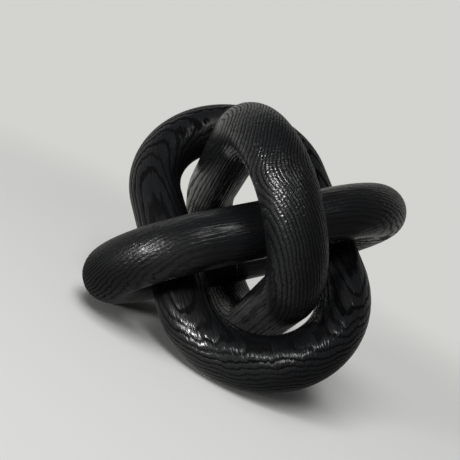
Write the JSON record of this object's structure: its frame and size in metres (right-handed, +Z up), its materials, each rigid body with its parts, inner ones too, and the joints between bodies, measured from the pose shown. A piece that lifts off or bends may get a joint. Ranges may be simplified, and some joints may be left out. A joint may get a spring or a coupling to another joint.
{
  "type": "interlocking ring puzzle sculpture",
  "caption": "Wooden puzzle sculpture of interlocked oval rings of round section, each at right angles to the others, in blackened open-grained wood.",
  "frame": {"origin": "on the table, below the middle of the bounding box", "axes": "+Z up as the sculpture stands on one end of each ring; -Y is the front, the side that the near run of the level ring faces; +X to the right seen from the front"},
  "size_m": [0.132, 0.1478, 0.115],
  "materials": {
    "blackened_wood": "blackened open-grained wood, brushed and satin",
    "dowel_beech": "bare beech, glued in"
  },
  "bodies": {
    "level_ring": {"level_ring_left_half": "blackened_wood", "level_ring_right_half": "blackened_wood", "level_ring_front_dowel": "dowel_beech", "level_ring_rear_dowel": "dowel_beech"},
    "upright_ring": {"upright_ring": "blackened_wood"},
    "cross_ring": {"cross_ring": "blackened_wood"}
  },
  "joints": [
    {"name": "upright_ring_swing", "type": "hinge", "parent": "level_ring", "child": "upright_ring", "pos_m": [-0.00262, 0.00129, 0.05656], "axis": [0.8033, 0.2555, 0.5379], "range_deg": [0, 31]},
    {"name": "cross_ring_turn", "type": "hinge", "parent": "level_ring", "child": "cross_ring", "pos_m": [-0.0026, 0, 0.05733], "axis": [-0.6026, 0.4265, 0.6746], "range_deg": [-8, 6]}
  ]
}
